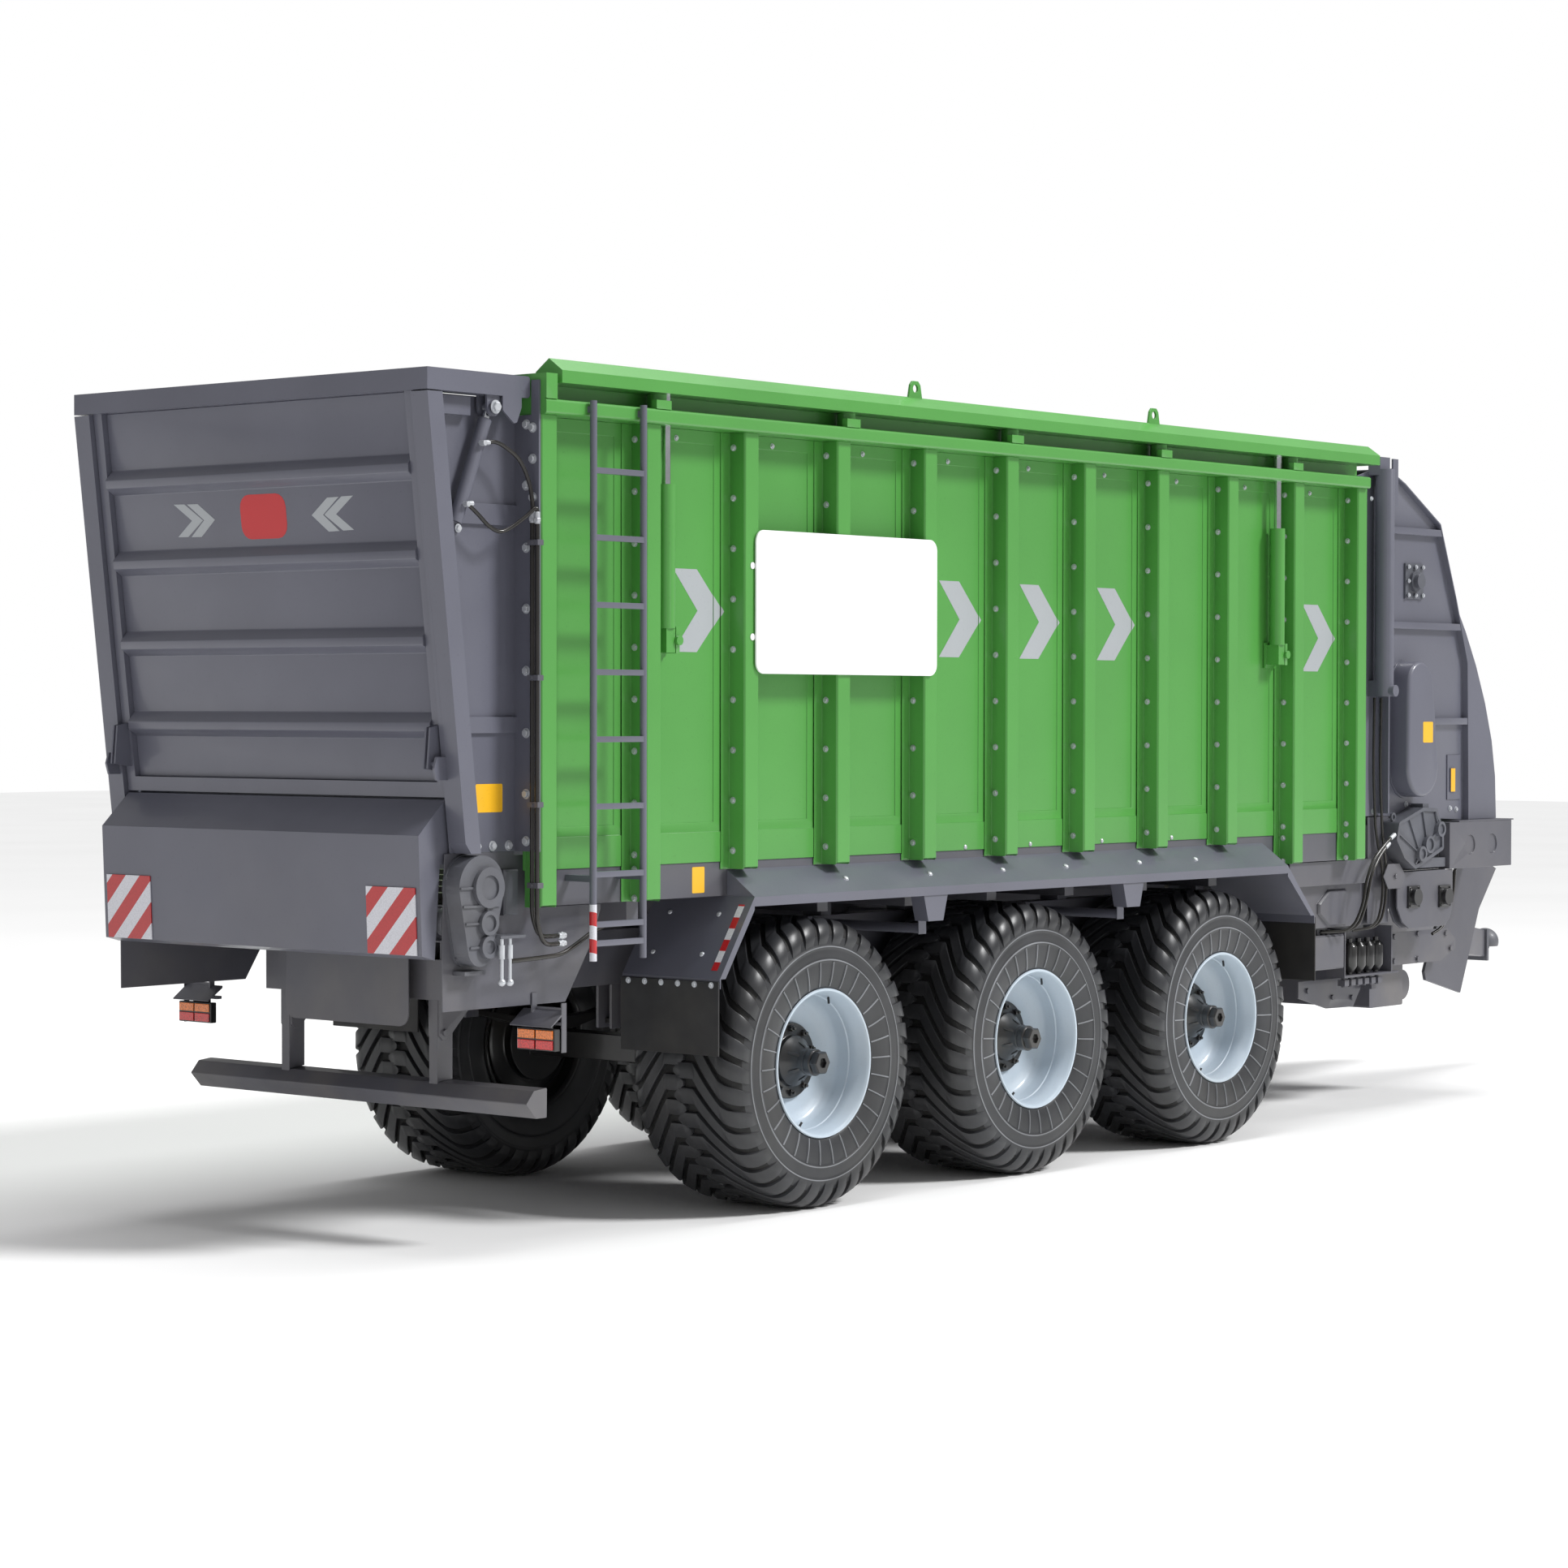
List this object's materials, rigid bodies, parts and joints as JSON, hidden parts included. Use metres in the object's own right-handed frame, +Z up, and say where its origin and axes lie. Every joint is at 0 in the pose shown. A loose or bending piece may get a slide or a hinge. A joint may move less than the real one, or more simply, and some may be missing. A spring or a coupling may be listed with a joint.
{
  "type": "grain wagon",
  "caption": "Tall-sided bulk crop trailer on tandem axle rows with a top-hinged tailgate, rising hopper sides, scraper floor, front dosing rollers and ball-coupled drawbar.",
  "frame": {"origin": "middle of the trailer's plan, on the ground under the tyres", "axes": "+X forwards to the drawbar, +Y to the trailer's left, +Z up"},
  "size_m": [11.241, 2.55, 3.9738],
  "materials": {
    "tyre_rubber": "matte ribbed rubber",
    "rim_silver": "satin silver-blue paint",
    "green_paint": "semi-gloss green paint",
    "housing_grey": "semi-gloss slate grey paint",
    "chassis_grey": "satin slate grey paint",
    "cast_grey": "painted rough casting",
    "bright_steel": "zinc-plated steel",
    "black_rubber": "matte black rubber",
    "black_hose": "glossy black hose",
    "black_paint": "gloss black paint",
    "white_board": "blank white board",
    "warning_face": "red and white diagonal bands",
    "lamp_case": "black case with amber and red lenses"
  },
  "bodies": {
    "chassis": {"accumulator_rack": "chassis_grey", "accumulators": "black_paint", "axle_beams": "chassis_grey", "chain_guard": "housing_grey", "chassis_frame": "chassis_grey", "coupling_head": "cast_grey", "drawbar": "chassis_grey", "fenders": "housing_grey", "floor_chains": "bright_steel", "floor_slats": "bright_steel", "front_cover": "housing_grey", "front_gearbox": "cast_grey", "front_platform": "chassis_grey", "front_screen": "housing_grey", "front_unit_walls": "housing_grey", "hopper_floor": "housing_grey", "hopper_walls": "green_paint", "hydraulic_lines": "black_hose", "ladder": "chassis_grey", "leaf_springs": "chassis_grey", "lift_cylinders": "green_paint", "lower_front_frame": "chassis_grey", "lower_hood": "housing_grey", "mudflaps": "black_rubber", "panel_bolts": "bright_steel", "rear_gearbox": "cast_grey", "rear_housing": "housing_grey", "rear_lower_frame": "chassis_grey", "shaft_bearings": "cast_grey", "side_ribs": "green_paint", "sign_boards": "white_board", "tail_lamps": "lamp_case", "top_rails": "green_paint", "underrun_bumper": "chassis_grey", "warning_panels": "warning_face"},
    "wheel_front_right": {"tyre_front_right": "tyre_rubber", "rim_front_right": "rim_silver"},
    "wheel_front_left": {"tyre_front_left": "tyre_rubber", "rim_front_left": "rim_silver"},
    "wheel_middle_right": {"tyre_middle_right": "tyre_rubber", "rim_middle_right": "rim_silver"},
    "wheel_middle_left": {"tyre_middle_left": "tyre_rubber", "rim_middle_left": "rim_silver"},
    "wheel_rear_right": {"tyre_rear_right": "tyre_rubber", "rim_rear_right": "rim_silver"},
    "wheel_rear_left": {"tyre_rear_left": "tyre_rubber", "rim_rear_left": "rim_silver"},
    "tailgate": {"tailgate_frame": "housing_grey", "tailgate_panel": "housing_grey"},
    "gate_barrel_right": {"gate_cylinder_right": "housing_grey"},
    "gate_piston_right": {"gate_rod_right": "bright_steel"},
    "gate_barrel_left": {"gate_cylinder_left": "housing_grey"},
    "gate_piston_left": {"gate_rod_left": "bright_steel"},
    "hopper_extension_right": {"extension_right": "green_paint"},
    "hopper_extension_left": {"extension_left": "green_paint"},
    "roller_upper": {"dosing_roller_upper": "housing_grey"},
    "roller_middle": {"dosing_roller_middle": "housing_grey"},
    "roller_lower": {"dosing_roller_lower": "housing_grey"},
    "feed_rotor_body": {"feed_rotor": "housing_grey"},
    "floor_shaft": {"floor_drive_shaft": "housing_grey"}
  },
  "joints": [
    {"name": "wheel_front_right_spin", "type": "hinge", "parent": "chassis", "child": "wheel_front_right", "pos_m": [0.3355, 0, 0.6925], "axis": [0, 1, 0], "continuous": true},
    {"name": "wheel_front_left_spin", "type": "hinge", "parent": "chassis", "child": "wheel_front_left", "pos_m": [0.3355, 0, 0.6925], "axis": [0, 1, 0], "continuous": true},
    {"name": "wheel_middle_right_spin", "type": "hinge", "parent": "chassis", "child": "wheel_middle_right", "pos_m": [-1.3795, 0, 0.6925], "axis": [0, 1, 0], "continuous": true},
    {"name": "wheel_middle_left_spin", "type": "hinge", "parent": "chassis", "child": "wheel_middle_left", "pos_m": [-1.3795, 0, 0.6925], "axis": [0, 1, 0], "continuous": true},
    {"name": "wheel_rear_right_spin", "type": "hinge", "parent": "chassis", "child": "wheel_rear_right", "pos_m": [-3.0945, 0, 0.6925], "axis": [0, 1, 0], "continuous": true},
    {"name": "wheel_rear_left_spin", "type": "hinge", "parent": "chassis", "child": "wheel_rear_left", "pos_m": [-3.0945, 0, 0.6925], "axis": [0, 1, 0], "continuous": true},
    {"name": "tailgate_hinge", "type": "hinge", "parent": "chassis", "child": "tailgate", "pos_m": [-5.0395, 0, 3.757], "axis": [0, 1, 0], "range_deg": [0, 70]},
    {"name": "gate_cylinder_right_pivot", "type": "hinge", "parent": "chassis", "child": "gate_barrel_right", "pos_m": [-5.4165, 0, 3.133], "axis": [0, 1, 0], "range_deg": [-8, 8]},
    {"name": "gate_rod_right_slide", "type": "slide", "parent": "gate_barrel_right", "child": "gate_piston_right", "axis": [0.3741, 0, 0.9274], "range_m": [0, 0.2158]},
    {"name": "gate_cylinder_left_pivot", "type": "hinge", "parent": "chassis", "child": "gate_barrel_left", "pos_m": [-5.4165, 0, 3.133], "axis": [0, 1, 0], "range_deg": [-8, 8]},
    {"name": "gate_rod_left_slide", "type": "slide", "parent": "gate_barrel_left", "child": "gate_piston_left", "axis": [0.3741, 0, 0.9274], "range_m": [0, 0.2158]},
    {"name": "extension_right_lift", "type": "slide", "parent": "chassis", "child": "hopper_extension_right", "axis": [0, 0, 1], "range_m": [0, 0.35]},
    {"name": "extension_left_lift", "type": "slide", "parent": "chassis", "child": "hopper_extension_left", "axis": [0, 0, 1], "range_m": [0, 0.35]},
    {"name": "roller_upper_spin", "type": "hinge", "parent": "chassis", "child": "roller_upper", "pos_m": [2.7255, 0, 3.135], "axis": [0, 1, 0], "continuous": true},
    {"name": "roller_middle_spin", "type": "hinge", "parent": "chassis", "child": "roller_middle", "pos_m": [2.6705, 0, 2.549], "axis": [0, 1, 0], "continuous": true},
    {"name": "roller_lower_spin", "type": "hinge", "parent": "chassis", "child": "roller_lower", "pos_m": [2.4855, 0, 1.972], "axis": [0, 1, 0], "continuous": true},
    {"name": "feed_rotor_spin", "type": "hinge", "parent": "chassis", "child": "feed_rotor_body", "pos_m": [3.0085, 0, 1.248], "axis": [0, 1, 0], "continuous": true},
    {"name": "floor_shaft_spin", "type": "hinge", "parent": "chassis", "child": "floor_shaft", "pos_m": [-5.3795, 0, 1.451], "axis": [0, 1, 0], "continuous": true}
  ],
  "couplings": [
    {"joint": "gate_cylinder_right_pivot", "follows": "tailgate_hinge", "ratio": -0.06814},
    {"joint": "gate_rod_right_slide", "follows": "tailgate_hinge", "m_per_rad": 0.17256},
    {"joint": "gate_cylinder_left_pivot", "follows": "tailgate_hinge", "ratio": -0.06814},
    {"joint": "gate_rod_left_slide", "follows": "tailgate_hinge", "m_per_rad": 0.17256},
    {"joint": "extension_left_lift", "follows": "extension_right_lift", "ratio": 1},
    {"joint": "roller_upper_spin", "follows": "roller_lower_spin", "ratio": 1},
    {"joint": "roller_middle_spin", "follows": "roller_lower_spin", "ratio": 1}
  ]
}
